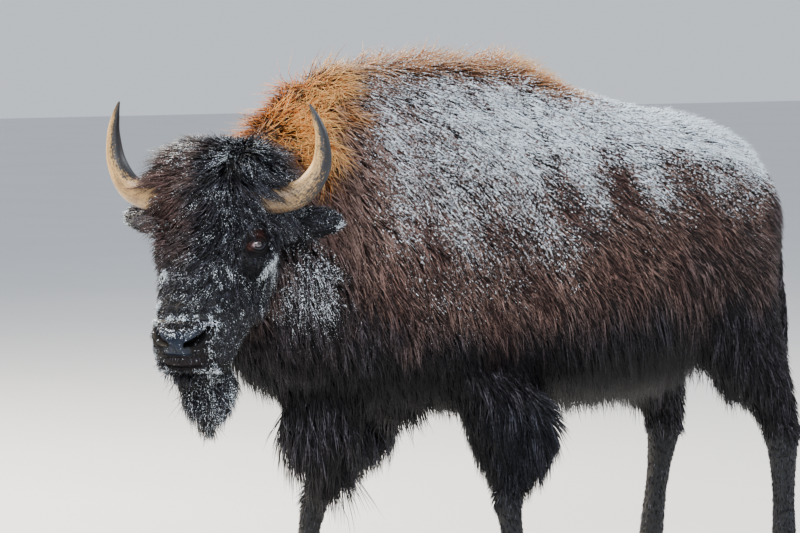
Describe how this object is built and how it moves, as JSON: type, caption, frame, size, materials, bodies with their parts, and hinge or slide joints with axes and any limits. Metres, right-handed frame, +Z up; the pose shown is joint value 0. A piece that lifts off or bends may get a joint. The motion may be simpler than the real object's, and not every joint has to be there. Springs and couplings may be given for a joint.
{
  "type": "bison",
  "caption": "Life-size bison bull in a shaggy snow-dusted winter coat, standing in mid stride with its head turned to its left; a still display figure.",
  "frame": {"origin": "on the floor, under the middle of the figure's bounding box", "axes": "+Z up, the bison faces -Y, its left side is +X"},
  "size_m": [0.8056, 2.5568, 1.7503],
  "materials": {
    "coat": "long shaggy brown hair, golden along the nape and dusted with snow on the back",
    "dark_coat": "near-black woolly hair",
    "muzzle": "short black hair with frost, around a moist slate-blue nose pad",
    "horn": "satin horn, tan with dark streaks and black tips",
    "hoof": "dark satin hoof",
    "eye": "wet gloss, dark brown iris"
  },
  "bodies": {
    "root": {"barrel": "coat", "beard": "dark_coat", "brisket_mane": "dark_coat", "ear_left": "dark_coat", "ear_right": "dark_coat", "eye_left": "eye", "eye_right": "eye", "forequarters": "coat", "head": "dark_coat", "hindquarters": "coat", "hoof_front_left": "hoof", "hoof_front_right": "hoof", "hoof_hind_left": "hoof", "hoof_hind_right": "hoof", "horn_left": "horn", "horn_right": "horn", "jaw": "dark_coat", "lower_leg_front_left": "dark_coat", "lower_leg_front_right": "dark_coat", "lower_leg_hind_left": "dark_coat", "lower_leg_hind_right": "dark_coat", "muzzle": "muzzle", "neck": "coat", "tail": "dark_coat", "upper_leg_front_left": "dark_coat", "upper_leg_front_right": "dark_coat", "upper_leg_hind_left": "dark_coat", "upper_leg_hind_right": "dark_coat"}
  },
  "joints": []
}
